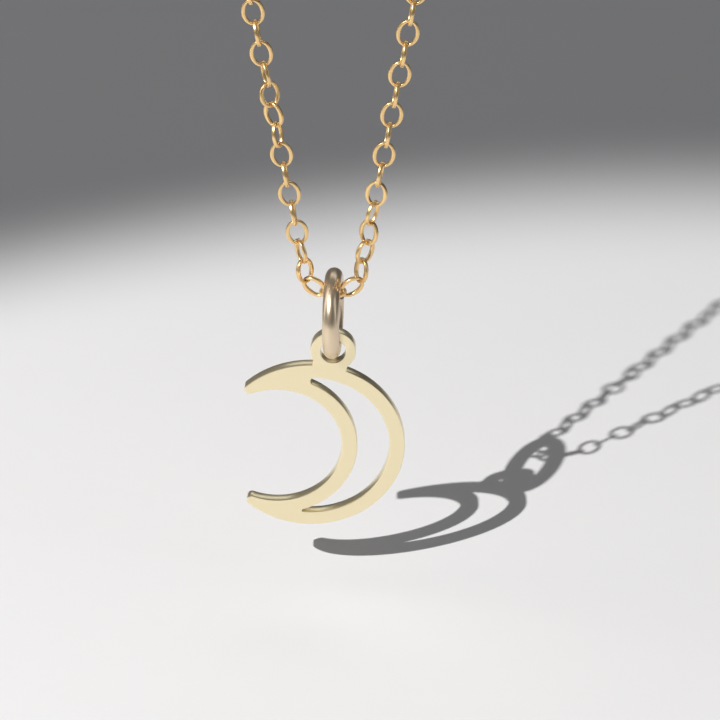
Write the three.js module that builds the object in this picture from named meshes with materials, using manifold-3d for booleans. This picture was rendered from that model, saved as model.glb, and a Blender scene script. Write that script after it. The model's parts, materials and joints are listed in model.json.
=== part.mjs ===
// A fine pendant necklace, in millimetres, +Z up. The chain hangs over a level bar that lies along Y through
// the origin: two straight strands run down from it to a jump ring and a flat open crescent moon. The length
// of chain that the strands don't need is wound round the bar as a neat coil, with the clasp on top.
import * as THREE from 'three';
import { mergeVertices } from 'three/addons/utils/BufferGeometryUtils.js';
import Module from 'manifold-3d';

const wasm = await Module();
wasm.setup();

// ---- driving dimensions ----
const CHAIN_LENGTH = 406.4; // along the links, from end ring to end ring, with the clasp
const LINK_LENGTH = 1.48; // outside, along the chain
const LINK_WIDTH = 1.22; // outside, across the chain
const LINK_END_WIRE = 0.13; // width of the flattened wire at a link's two ends
const LINK_SIDE_WIRE = 0.22; // and at its sides
const LINK_THICKNESS = 0.2;
const LINK_GAP = 0.04; // play where one link sits in the next
const LINKS_PER_SIDE = 20; // separate links on each strand; the rest of the chain is drawn as plain solids
const STRAND_ANGLE = THREE.MathUtils.degToRad(9.6); // each strand from the vertical
// Each stretch of a strand over which its alternating twist slips by a quarter turn, from link to link.
const LEFT_TWIST_SLIPS = [{ from: 0, to: 4.3 }, { from: 8, to: 13 }];
const RIGHT_TWIST_SLIPS = [{ from: -1, to: 8 }];

const RING_OUTSIDE = 5; // jump ring
const RING_WIRE = 0.92;
const RING_SLIT = 0.04; // where its ends butt together
const RING_PLAY = 0.03; // between the ring and what it hangs on or holds
const RING_CLEARANCE = 0.02; // from the ring to the lowest link on each side
const RING_YAW = THREE.MathUtils.degToRad(-3.5);

const PENDANT_THICKNESS = 0.6;
const CRESCENT_RADIUS = 5.25;
const CRESCENT_WIDTH = 3.51; // at its widest, from the mouth to the outside
const MOUTH_REACH = 0.27; // how far the mouth's circle reaches past the crescent's outside
const HORN_RADIUS = 0.3; // the rounded tips
const OUTER_BAND = 0.85; // metal between the window and the crescent's outside
const INNER_BAND = 0.86; // metal between the window and the mouth
const WINDOW_TOP_RADIUS = 0.2;
const WINDOW_BOTTOM_RADIUS = 0.06;
const LOOP_RADIUS = 1.25;
const LOOP_HOLE = 0.7; // radius
const LOOP_RISE = 0.98; // from the crescent's edge to the loop's centre
const LOOP_ANGLE = THREE.MathUtils.degToRad(78.3); // from +X to the loop, about the crescent's centre
const NECK_SHARE = 0.776; // the neck's width as a share of the loop's

const COIL_TURNS = 6; // whole turns, on top of the half turn over the bar
const COIL_HALF_WIDTH = 3.6; // from the coil's middle to its outermost turns, along the bar
const COIL_HALF_DEPTH = 0.8; // from the middle of the turns to the inner and outer layers
const FACE_GAP = 0.3; // between the plain solids of one chain where they meet end to end

const CLASP_OUTSIDE = 5.5; // spring ring clasp
const CLASP_TUBE = 1.1;
const CLASP_BORE = 0.76;
const CLASP_ROD = 0.6; // trigger rod
const CLASP_MOUTH = 34; // degrees of the ring that open
const CLASP_MOUTH_AT = 62; // degrees from +X to the middle of the mouth
const ROD_LEAD = 9; // degrees that the closed rod reaches into the far end of the tube
const ROD_LENGTH = 100; // degrees
const LEVER_WIDTH = 0.34;
const LEVER_REACH = 0.75; // beyond the tube
const TRIGGER_TRAVEL = 44; // degrees
const EYE_OUTSIDE = 1.7;
const EYE_WIRE = 0.4;
const CONNECTOR_OUTSIDE = 2.6;
const CONNECTOR_WIRE = 0.5;
const END_RING_OUTSIDE = 3;
const END_RING_WIRE = 0.5;
const END_RING_LEAN = THREE.MathUtils.degToRad(62); // from the clasp's plane
const EYE_SIDES = 8; // facets round the wire of the clasp's small rings
const SPRING_WIRE = 0.1;
const SPRING_TURNS = 10;
const SPRING_LEAD = 3; // degrees from the rod's end to the spring
const SPRING_STOP = 60; // degrees from the spring's far end to the tube's
const SLOT_LEAD = 6; // degrees that the lever's slot runs past its travel at each end
const CLASP_PLAY = 0.05;

// ---- finishes ----
const chainGold = () => new THREE.MeshStandardMaterial({ color: 0xe8b465, roughness: 0.24, metalness: 1 });
const paleGold = () => new THREE.MeshStandardMaterial({ color: 0xf2dc9c, roughness: 0.16, metalness: 1 });
const ringGold = () => new THREE.MeshStandardMaterial({ color: 0xcdb08a, roughness: 0.14, metalness: 1 });
const springSteel = () => new THREE.MeshStandardMaterial({ color: 0x9a9a98, roughness: 0.3, metalness: 1 });

const necklace = new THREE.Group();
necklace.name = 'pendant_necklace';

function add(name, geometry, material, parent = necklace) {
  const mesh = new THREE.Mesh(geometry, material);
  mesh.name = name;
  parent.add(mesh);
  return mesh;
}

// ---- solids ----
function toManifold(geometry) {
  const bare = geometry.clone();
  bare.deleteAttribute('normal');
  bare.deleteAttribute('uv');
  const merged = mergeVertices(bare, 1e-5);
  return new wasm.Manifold(new wasm.Mesh({
    numProp: 3,
    vertProperties: new Float32Array(merged.attributes.position.array),
    triVerts: new Uint32Array(merged.index.array),
  }));
}

function toGeometry(solid) {
  const mesh = solid.getMesh();
  const geometry = new THREE.BufferGeometry();
  geometry.setAttribute('position', new THREE.BufferAttribute(mesh.vertProperties, mesh.numProp));
  geometry.setIndex(new THREE.BufferAttribute(mesh.triVerts, 1));
  geometry.computeVertexNormals();
  return geometry;
}

/** A flat plate of a shape drawn in X and Z, centred on the XZ plane. */
function plate(shape, thickness, curveSegments) {
  const geometry = new THREE.ExtrudeGeometry(shape, { depth: thickness, bevelEnabled: false, curveSegments });
  geometry.translate(0, 0, -thickness / 2);
  geometry.rotateX(Math.PI / 2);
  return geometry;
}

function disc(x, z, radius) {
  const shape = new THREE.Shape();
  shape.absarc(x, z, radius, 0, 2 * Math.PI, false);
  return shape;
}

/** An arc about Z in the XY plane, from one angle to another. */
class FlatArc extends THREE.Curve {
  constructor(radius, from, to) {
    super();
    this.radius = radius;
    this.from = from;
    this.to = to;
  }

  getPoint(t, target = new THREE.Vector3()) {
    const angle = THREE.MathUtils.lerp(this.from, this.to, t);
    return target.set(this.radius * Math.cos(angle), this.radius * Math.sin(angle), 0);
  }
}

/** A fine helix wound round such an arc: the clasp's spring. */
class ArcHelix extends THREE.Curve {
  constructor(radius, from, to, coilRadius, turns) {
    super();
    Object.assign(this, { radius, from, to, coilRadius, turns });
  }

  getPoint(t, target = new THREE.Vector3()) {
    const angle = THREE.MathUtils.lerp(this.from, this.to, t);
    const turn = 2 * Math.PI * this.turns * t;
    const reach = this.radius + this.coilRadius * Math.cos(turn);
    return target.set(reach * Math.cos(angle), reach * Math.sin(angle), this.coilRadius * Math.sin(turn));
  }
}

function roundSection(radius, sides, bore = 0) {
  const ring = (r) => Array.from({ length: sides }, (_, i) => {
    const angle = (2 * Math.PI * i) / sides;
    return new THREE.Vector2(r * Math.cos(angle), r * Math.sin(angle));
  });
  const shape = new THREE.Shape(ring(radius));
  if (bore > 0) shape.holes.push(new THREE.Path(ring(bore)));
  return shape;
}

function alongPath(section, path, steps) {
  const settings = { extrudePath: path, steps, bevelEnabled: false, curveSegments: 1 };
  return new THREE.ExtrudeGeometry(section, settings);
}

/** A closed round-wire ring in the XY plane, outside diameter and wire diameter given. */
function wireRing(outside, wire, sides, steps) {
  return new THREE.TorusGeometry((outside - wire) / 2, wire / 2, sides, steps);
}

// ---- chain ----
const innerHalf = LINK_LENGTH / 2 - LINK_END_WIRE;
const pitch = 2 * innerHalf - LINK_GAP;

/** One flattened oval link, long axis along Z, face in the XZ plane. */
function linkGeometry() {
  const shape = new THREE.Shape();
  shape.absellipse(0, 0, LINK_WIDTH / 2, LINK_LENGTH / 2, 0, 2 * Math.PI, false, 0);
  const hole = new THREE.Path();
  hole.absellipse(0, 0, LINK_WIDTH / 2 - LINK_SIDE_WIRE, innerHalf, 0, 2 * Math.PI, true, 0);
  shape.holes.push(hole);
  return plate(shape, LINK_THICKNESS, 8);
}

/** Adds a link with its middle at x, z, leaning by lean towards -X and turned about its length by twist. */
function addLink(name, x, z, lean, twist) {
  const mesh = add(name, linkGeometry(), chainGold());
  mesh.position.set(x, 0, z);
  mesh.rotation.set(0, -lean, twist, 'YZX');
  return mesh;
}

/** How far a link is turned about the strand: a quarter turn each, less the strand's slow slips. */
function linkTwist(number, slips) {
  const slipped = slips.map(({ from, to }) => THREE.MathUtils.clamp((number - from) / (to - from), 0, 1));
  return (Math.PI / 2) * (number - 1 - slipped.reduce((total, share) => total + share, 0));
}

// The lowest link of each strand sits in the end of the level bottom link; the strand's straight run
// starts where the second link sits in the first.
const bottomReach = LINK_LENGTH / 2 - LINK_END_WIRE / 2;
const firstReach = innerHalf - LINK_THICKNESS / 2 - LINK_GAP;

// The jump ring stands in the YZ plane and rests on the two long sides of the bottom link.
const ringInside = RING_OUTSIDE / 2 - RING_WIRE;
const ringMiddle = (RING_OUTSIDE - RING_WIRE) / 2;
const ringDrop = Math.sqrt(ringInside ** 2 - (LINK_WIDTH / 2) ** 2) - LINK_THICKNESS / 2 - RING_PLAY;

// The lowest links are turned a little about their length too, so they are narrower as the ring sees them.
const firstTwists = [LEFT_TWIST_SLIPS, RIGHT_TWIST_SLIPS].map((slips) => Math.abs(linkTwist(1, slips)));
const firstTwist = Math.min(...firstTwists);

/** The gap between the jump ring's wire, over the bottom link, and a strand's lowest link at this angle. */
function gapToRing(angle) {
  const wireUp = ringMiddle - ringDrop;
  const samples = 180;
  let nearest = Infinity;
  for (let i = 0; i < samples; i += 1) {
    const round = (2 * Math.PI * i) / samples;
    const across = (LINK_WIDTH / 2) * Math.cos(round) * Math.cos(firstTwist);
    const along = (LINK_LENGTH / 2) * Math.sin(round) + firstReach;
    const x = bottomReach + along * Math.sin(angle) + across * Math.cos(angle);
    const z = along * Math.cos(angle) - across * Math.sin(angle);
    nearest = Math.min(nearest, Math.hypot(x, z - wireUp));
  }
  return nearest - RING_WIRE / 2;
}

/** The lowest link leans out just far enough to pass the jump ring. */
function solveFirstLinkAngle() {
  let low = STRAND_ANGLE;
  let high = Math.PI / 2;
  for (let i = 0; i < 40; i += 1) {
    const middle = (low + high) / 2;
    if (gapToRing(middle) < RING_CLEARANCE) low = middle;
    else high = middle;
  }
  return high;
}

const firstLinkAngle = solveFirstLinkAngle();
const firstX = bottomReach + firstReach * Math.sin(firstLinkAngle);
const firstUp = firstReach * Math.cos(firstLinkAngle);
const runX = firstX + (pitch / 2) * Math.sin(firstLinkAngle);
const runUp = firstUp + (pitch / 2) * Math.cos(firstLinkAngle);

// The coil: its turns follow a path that goes once round a flat oval while it winds round the bar, from the
// inner layer at the middle, out to one side, back over the top of the others, and in from the other side.
const coilWinds = COIL_TURNS + 0.5 + STRAND_ANGLE / Math.PI;

function coilPoint(radius, wind) {
  const round = (2 * Math.PI * wind) / coilWinds;
  const reach = radius - COIL_HALF_DEPTH * Math.cos(round);
  const angle = Math.PI + STRAND_ANGLE - 2 * Math.PI * wind;
  const along = -COIL_HALF_WIDTH * Math.sin(round);
  return new THREE.Vector3(reach * Math.cos(angle), along, reach * Math.sin(angle));
}

function coilLength(radius) {
  const steps = 2000;
  let total = 0;
  let last = coilPoint(radius, 0);
  for (let i = 1; i <= steps; i += 1) {
    const next = coilPoint(radius, (coilWinds * i) / steps);
    total += last.distanceTo(next);
    last = next;
  }
  return total;
}

/** Where a strand's straight run starts and how long it is, for a coil of this radius. */
function strandRun(radius) {
  const entry = radius - COIL_HALF_DEPTH;
  const startZ = (runX * Math.cos(STRAND_ANGLE) - entry) / Math.sin(STRAND_ANGLE);
  const length = -(runX * Math.sin(STRAND_ANGLE) + startZ * Math.cos(STRAND_ANGLE));
  return { entry, startZ, length };
}

function chainLength(radius) {
  return coilLength(radius) + 2 * strandRun(radius).length + 3 * pitch;
}

/** The coil's radius is the one that uses up the chain's length. */
function solveCoilRadius() {
  let low = COIL_HALF_DEPTH + LINK_WIDTH;
  let high = CHAIN_LENGTH / (2 * Math.PI);
  for (let i = 0; i < 60; i += 1) {
    const middle = (low + high) / 2;
    if (chainLength(middle) < CHAIN_LENGTH) low = middle;
    else high = middle;
  }
  return (low + high) / 2;
}

const coilRadius = solveCoilRadius();
const run = strandRun(coilRadius);
const bottomZ = run.startZ - runUp;
const coilOutside = coilRadius + COIL_HALF_DEPTH + LINK_WIDTH / 2;
const alongStrand = new THREE.Vector3(-Math.sin(STRAND_ANGLE), 0, Math.cos(STRAND_ANGLE));

/** A point on the left strand's line, a distance above the start of its straight run. */
function strandPoint(distance) {
  return new THREE.Vector3(-runX, 0, run.startZ).addScaledVector(alongStrand, distance);
}

function addStrand(side, mirror, slips) {
  const firstTurn = mirror * linkTwist(1, slips);
  addLink(`link_${side}_01`, -mirror * firstX, bottomZ + firstUp, mirror * firstLinkAngle, firstTurn);
  for (let number = 2; number <= LINKS_PER_SIDE; number += 1) {
    const middle = strandPoint((number - 1.5) * pitch);
    const twist = mirror * linkTwist(number, slips);
    const name = `link_${side}_${String(number).padStart(2, '0')}`;
    addLink(name, mirror * middle.x, middle.z, mirror * STRAND_ANGLE, twist);
  }
  // the plain solid of the strand's upper stretch, from just above the last link to just below the coil
  const overEnd = (LINK_LENGTH - pitch) / 2;
  const intoCoil = Math.sqrt(coilOutside ** 2 - (run.entry - LINK_WIDTH / 2) ** 2);
  const lower = strandPoint((LINKS_PER_SIDE - 1) * pitch + overEnd + FACE_GAP);
  const upper = strandPoint(run.length - intoCoil - FACE_GAP);
  lower.x *= mirror;
  upper.x *= mirror;
  const steps = Math.ceil(lower.distanceTo(upper) / (3 * LINK_WIDTH));
  const tube = alongPath(roundSection(LINK_WIDTH / 2, 8), new THREE.LineCurve3(lower, upper), steps);
  add(`chain_upper_${side}`, tube, chainGold());
}

function addCoil() {
  const sides = 12;
  const profile = [];
  for (let i = 0; i <= sides; i += 1) {
    const angle = (2 * Math.PI * (i % sides)) / sides;
    profile.push(new THREE.Vector2(
      coilRadius + (COIL_HALF_DEPTH + LINK_WIDTH / 2) * Math.cos(angle),
      (COIL_HALF_WIDTH + LINK_WIDTH / 2) * Math.sin(angle),
    ));
  }
  add('chain_coil', new THREE.LatheGeometry(profile, 36), chainGold());
}

const bottomLink = add('bottom_link', linkGeometry(), chainGold());
bottomLink.position.set(0, 0, bottomZ);
bottomLink.rotation.set(Math.PI / 2, 0, Math.PI / 2, 'ZXY');

addStrand('left', 1, LEFT_TWIST_SLIPS);
addStrand('right', -1, RIGHT_TWIST_SLIPS);
addCoil();

// ---- jump ring ----
const ringZ = bottomZ - ringDrop;

function addJumpRing() {
  const slitAngle = RING_SLIT / ringMiddle;
  const path = new FlatArc(ringMiddle, slitAngle / 2, 2 * Math.PI - slitAngle / 2);
  const ring = alongPath(roundSection(RING_WIRE / 2, 12), path, 40);
  ring.rotateX(Math.PI / 2);
  ring.rotateZ(Math.PI / 2);
  const mesh = add('jump_ring', ring, ringGold());
  mesh.position.set(0, 0, ringZ);
  mesh.rotation.z = RING_YAW;
}
addJumpRing();

// ---- crescent pendant ----
/** The middle of the circle of a radius that fits between a circle at 0 and a smaller one at -offset. */
function fittedTip(outer, inner, offset, radius) {
  const fromOuter = outer - radius;
  const fromInner = inner + radius;
  const x = (fromInner ** 2 - fromOuter ** 2 - offset ** 2) / (2 * offset);
  return { x, z: Math.sqrt(fromOuter ** 2 - x ** 2) };
}

/** A crescent between a circle at 0 and one at -offset, with rounded tips. */
function crescent(outer, inner, offset, topRadius, bottomRadius) {
  const top = fittedTip(outer, inner, offset, topRadius);
  const bottom = fittedTip(outer, inner, offset, bottomRadius);
  bottom.z *= -1;
  const outwards = (tip) => Math.atan2(tip.z, tip.x);
  const inwards = (tip) => Math.atan2(tip.z, tip.x + offset);
  const shape = new THREE.Shape();
  shape.absarc(0, 0, outer, outwards(top), outwards(bottom), true);
  shape.absarc(bottom.x, bottom.z, bottomRadius, outwards(bottom), inwards(bottom) - Math.PI, true);
  shape.absarc(-offset, 0, inner, inwards(bottom), inwards(top), false);
  shape.absarc(top.x, top.z, topRadius, inwards(top) + Math.PI, outwards(top), true);
  return shape;
}

// The mouth's circle runs from the inside of the crescent's widest place to just past its open side.
const BITE_RADIUS = CRESCENT_RADIUS - (CRESCENT_WIDTH - MOUTH_REACH) / 2;
const BITE_OFFSET = (CRESCENT_WIDTH + MOUTH_REACH) / 2;

function addPendant() {
  const loopReach = CRESCENT_RADIUS + LOOP_RISE;
  const loopX = loopReach * Math.cos(LOOP_ANGLE);
  const loopZ = loopReach * Math.sin(LOOP_ANGLE);
  const body = toManifold(plate(
    crescent(CRESCENT_RADIUS, BITE_RADIUS, BITE_OFFSET, HORN_RADIUS, HORN_RADIUS), PENDANT_THICKNESS, 14));
  const windowOuter = CRESCENT_RADIUS - OUTER_BAND;
  const windowInner = BITE_RADIUS + INNER_BAND;
  const windowShape = crescent(
    windowOuter, windowInner, BITE_OFFSET, WINDOW_TOP_RADIUS, WINDOW_BOTTOM_RADIUS);
  const opening = toManifold(plate(windowShape, 2 * PENDANT_THICKNESS, 12));
  const loop = toManifold(plate(disc(loopX, loopZ, LOOP_RADIUS), PENDANT_THICKNESS, 12));
  const hole = toManifold(plate(disc(loopX, loopZ, LOOP_HOLE), 2 * PENDANT_THICKNESS, 12));

  // the neck runs from the middle of the crescent's outer band to the loop's centre
  const neckLength = LOOP_RISE + OUTER_BAND / 2;
  const neckShape = new THREE.BoxGeometry(2 * NECK_SHARE * LOOP_RADIUS, PENDANT_THICKNESS, neckLength);
  neckShape.translate(0, 0, loopReach - neckLength / 2);
  neckShape.rotateY(Math.PI / 2 - LOOP_ANGLE);
  const solid = body.add(loop).add(toManifold(neckShape)).subtract(opening).subtract(hole);
  const pendant = add('crescent_pendant', toGeometry(solid), paleGold());
  const wireTop = ringZ - ringMiddle + RING_WIRE / 2;
  pendant.position.set(-loopX, 0, wireTop + RING_PLAY - LOOP_HOLE - loopZ);
}
addPendant();

// ---- spring ring clasp, on top of the coil ----
const claspMiddle = (CLASP_OUTSIDE - CLASP_TUBE) / 2;
const claspHeight = coilOutside + FACE_GAP + (END_RING_OUTSIDE / 2) * Math.sin(END_RING_LEAN);
const degrees = THREE.MathUtils.degToRad;
const mouthStart = CLASP_MOUTH_AT - CLASP_MOUTH / 2;
const mouthEnd = CLASP_MOUTH_AT + CLASP_MOUTH / 2;
const rodEnd = mouthStart - ROD_LEAD + ROD_LENGTH;
const leverAt = mouthEnd + ROD_LEAD;

function claspArc(from, to) {
  return new FlatArc(claspMiddle, degrees(from), degrees(to));
}

function addClasp() {
  const clasp = new THREE.Group();
  clasp.position.z = claspHeight;
  necklace.add(clasp);

  const wallSection = roundSection(CLASP_TUBE / 2, 10, CLASP_BORE / 2);
  const wall = alongPath(wallSection, claspArc(mouthEnd, mouthStart + 360), 30);
  const slotShape = new THREE.Shape();
  const slotHalf = LEVER_WIDTH / 2 + CLASP_PLAY;
  const slotFrom = degrees(leverAt - SLOT_LEAD);
  const slotTo = degrees(leverAt + TRIGGER_TRAVEL + SLOT_LEAD);
  slotShape.absarc(0, 0, CLASP_OUTSIDE / 2 + CLASP_TUBE, slotFrom, slotTo, false);
  slotShape.absarc(0, 0, claspMiddle, slotTo, slotFrom, true);
  const slotSettings = { depth: 2 * slotHalf, bevelEnabled: false, curveSegments: 12 };
  const slot = new THREE.ExtrudeGeometry(slotShape, slotSettings);
  slot.translate(0, 0, -slotHalf);
  add('clasp_tube', toGeometry(toManifold(wall).subtract(toManifold(slot))), paleGold(), clasp);

  const rod = alongPath(roundSection(CLASP_ROD / 2, 10), claspArc(mouthStart - ROD_LEAD, rodEnd), 18);
  const lever = new THREE.BoxGeometry(LEVER_REACH + CLASP_TUBE / 2, LEVER_WIDTH, LEVER_WIDTH);
  lever.translate(claspMiddle + (LEVER_REACH + CLASP_TUBE / 2) / 2, 0, 0);
  lever.rotateZ(degrees(leverAt));
  add('clasp_trigger', toGeometry(toManifold(rod).add(toManifold(lever))), paleGold(), clasp);

  const springFrom = degrees(rodEnd + SPRING_LEAD);
  const springTo = degrees(mouthStart + 360 - SPRING_STOP);
  const helix = new ArcHelix(claspMiddle, springFrom, springTo, CLASP_BORE / 2 - SPRING_WIRE, SPRING_TURNS);
  const spring = alongPath(roundSection(SPRING_WIRE / 2, 5), helix, 10 * SPRING_TURNS);
  add('clasp_spring', spring, springSteel(), clasp);

  const eyeAt = CLASP_OUTSIDE / 2 + EYE_OUTSIDE / 2 + CLASP_PLAY;
  const eye = add('clasp_eye', wireRing(EYE_OUTSIDE, EYE_WIRE, EYE_SIDES, 20), paleGold(), clasp);
  eye.position.x = -eyeAt;
  eye.rotation.x = Math.PI / 2;

  const eyeToConnector = EYE_OUTSIDE / 2 - EYE_WIRE + CONNECTOR_OUTSIDE / 2 - CONNECTOR_WIRE - CLASP_PLAY;
  const connectorAt = eyeAt + eyeToConnector;
  const connectorRing = wireRing(CONNECTOR_OUTSIDE, CONNECTOR_WIRE, EYE_SIDES, 24);
  const connector = add('clasp_connector_ring', connectorRing, ringGold(), clasp);
  connector.position.x = -connectorAt;
  connector.rotation.y = -Math.asin(connectorAt / claspHeight) / 2;

  const endRing = add('end_ring', wireRing(END_RING_OUTSIDE, END_RING_WIRE, 10, 28), ringGold(), clasp);
  endRing.position.x = claspMiddle + END_RING_OUTSIDE / 2 - END_RING_WIRE - CLASP_TUBE / 2 - CLASP_PLAY;
  endRing.rotation.x = END_RING_LEAN;
}
addClasp();

export default necklace;
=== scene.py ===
"""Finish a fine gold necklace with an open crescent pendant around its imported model.

Lengths are in metres. The chain hangs over a level bar along Y: two strands run down to a jump ring and the
pendant, and the rest of the chain is wound round the bar with its spring ring clasp on top.
"""

import json
import math

import bpy
import numpy as np
from bpy.props import FloatProperty, FloatVectorProperty, IntProperty, PointerProperty
from mathutils import Matrix, Vector
from mathutils.geometry import tessellate_polygon

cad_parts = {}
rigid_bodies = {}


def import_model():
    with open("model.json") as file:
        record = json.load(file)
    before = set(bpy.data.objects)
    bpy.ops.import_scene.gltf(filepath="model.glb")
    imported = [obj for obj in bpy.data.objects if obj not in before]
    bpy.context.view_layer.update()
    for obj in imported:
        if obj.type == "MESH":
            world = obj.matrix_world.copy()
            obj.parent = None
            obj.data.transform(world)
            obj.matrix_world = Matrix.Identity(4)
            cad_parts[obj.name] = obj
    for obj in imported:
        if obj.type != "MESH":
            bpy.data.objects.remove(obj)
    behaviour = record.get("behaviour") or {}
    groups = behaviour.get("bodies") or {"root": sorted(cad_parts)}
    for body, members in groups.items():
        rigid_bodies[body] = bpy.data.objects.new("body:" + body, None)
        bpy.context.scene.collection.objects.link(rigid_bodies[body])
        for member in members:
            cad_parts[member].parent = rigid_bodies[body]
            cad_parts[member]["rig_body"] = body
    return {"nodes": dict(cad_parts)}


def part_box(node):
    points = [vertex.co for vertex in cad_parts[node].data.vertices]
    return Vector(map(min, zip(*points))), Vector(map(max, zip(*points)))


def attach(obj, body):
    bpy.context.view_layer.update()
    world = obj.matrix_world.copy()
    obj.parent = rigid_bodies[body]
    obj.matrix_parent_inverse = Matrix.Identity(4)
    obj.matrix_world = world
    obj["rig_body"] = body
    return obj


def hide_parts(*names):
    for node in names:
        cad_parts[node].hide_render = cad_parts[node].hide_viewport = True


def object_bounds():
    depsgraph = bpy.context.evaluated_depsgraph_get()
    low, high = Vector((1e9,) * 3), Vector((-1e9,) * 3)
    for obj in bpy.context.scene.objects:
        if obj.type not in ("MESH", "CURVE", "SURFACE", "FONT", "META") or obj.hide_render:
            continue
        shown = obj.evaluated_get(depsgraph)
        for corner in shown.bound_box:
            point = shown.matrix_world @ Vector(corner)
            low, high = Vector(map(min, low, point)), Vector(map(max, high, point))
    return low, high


bl_info = {
    "name": "Crescent Pendant Necklace",
    "version": (1, 0, 0),
    "blender": (4, 5, 0),
    "location": "View3D > Sidebar > Necklace",
    "description": "Makes a flat-link chain, jump ring, open crescent pendant and spring ring clasp",
    "category": "Object",
}

MM = 0.001
FULL_TURN = 2 * math.pi

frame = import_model()
cad_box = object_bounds()


# ---- sizes and colours ----
def length(name, description, default_mm):
    """A size in metres, with its default given in millimetres."""
    return FloatProperty(
        name=name, description=description, default=default_mm * MM, min=0, precision=5, unit="LENGTH"
    )


def colour(name, description, default):
    return FloatVectorProperty(
        name=name, description=description, default=default, size=3, min=0, max=1, subtype="COLOR"
    )


class ChainSizes(bpy.types.PropertyGroup):
    """Sizes of the flat-link chain"""

    link_length: length("Link Length", "Outside length of a link", 1.48)
    link_width: length("Link Width", "Outside width of a link", 1.22)
    end_wire: length("End Wire", "Width of the flattened wire at a link's ends", 0.13)
    side_wire: length("Side Wire", "Width of the flattened wire at a link's sides", 0.22)
    thickness: length("Thickness", "Thickness of a link", 0.2)
    unevenness: length("Unevenness", "How far the hammered wire strays from a true oval", 0.012)
    twist_play: FloatProperty(
        name="Twist Play", description="How far a wound link turns from its place", default=0.16, subtype="ANGLE"
    )
    coil_depth: length("Coil Depth", "From the middle of the wound turns to the inner and outer layers", 0.8)
    coil_turns: IntProperty(name="Coil Turns", description="Whole turns round the bar", default=6, min=1)


class RingSizes(bpy.types.PropertyGroup):
    """Sizes of the jump ring"""

    outside: length("Outside", "Outside diameter", 5)
    wire: length("Wire", "Wire diameter", 0.92)
    slit: length("Slit", "Gap where the ends butt together", 0.04)


class PendantSizes(bpy.types.PropertyGroup):
    """Sizes of the crescent pendant"""

    thickness: length("Thickness", "Thickness of the plate", 0.6)
    edge: length("Edge", "Width of the softened edge", 0.045)
    outer: length("Outer Radius", "Radius of the crescent", 5.25)
    mouth: length("Mouth Radius", "Radius of the round mouth", 3.63)
    mouth_offset: length("Mouth Offset", "From the crescent's centre to the mouth's", 1.89)
    horn: length("Horn Radius", "Radius of the rounded tips", 0.3)
    outer_band: length("Outer Band", "Metal between the window and the outside", 0.85)
    inner_band: length("Inner Band", "Metal between the window and the mouth", 0.86)
    window_top: length("Window Top", "Radius of the window's upper tip", 0.2)
    window_bottom: length("Window Bottom", "Radius of the window's lower tip", 0.06)
    loop: length("Loop Radius", "Outside radius of the loop", 1.25)
    loop_hole: length("Loop Hole", "Radius of the loop's hole", 0.7)
    loop_rise: length("Loop Rise", "From the crescent's edge to the loop's centre", 0.98)
    loop_angle: FloatProperty(
        name="Loop Angle",
        description="Where the loop stands, about the crescent's centre",
        default=math.radians(78.3),
        subtype="ANGLE",
    )
    neck: length("Neck", "Half the width of the neck between the loop and the crescent", 0.97)


class ClaspSizes(bpy.types.PropertyGroup):
    """Sizes of the spring ring clasp and its rings"""

    outside: length("Outside", "Outside diameter", 5.5)
    tube: length("Tube", "Tube diameter", 1.1)
    bore: length("Bore", "Bore of the tube", 0.76)
    rod: length("Rod", "Trigger rod diameter", 0.6)
    lever: length("Lever", "Width of the trigger's lever", 0.34)
    lever_reach: length("Lever Reach", "How far the lever stands out of the tube", 0.75)
    eye_wire: length("Eye Wire", "Wire diameter of the clasp's eye", 0.4)
    ring_wire: length("Ring Wire", "Wire diameter of the connector and end rings", 0.5)


class Finishes(bpy.types.PropertyGroup):
    """Colours of the metals and the floor"""

    chain: colour("Chain Gold", "Warm gold of the links", (0.97, 0.57, 0.18))
    pendant: colour("Pendant Gold", "Pale gold of the pendant and clasp", (1.0, 0.83, 0.25))
    ring: colour("Ring Gold", "Rosy bronze gold of the rings", (0.6, 0.42, 0.26))
    steel: colour("Spring Steel", "The clasp's spring", (0.5, 0.5, 0.49))
    floor: colour("Floor", "The pale floor", (0.8, 0.8, 0.815))


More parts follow.
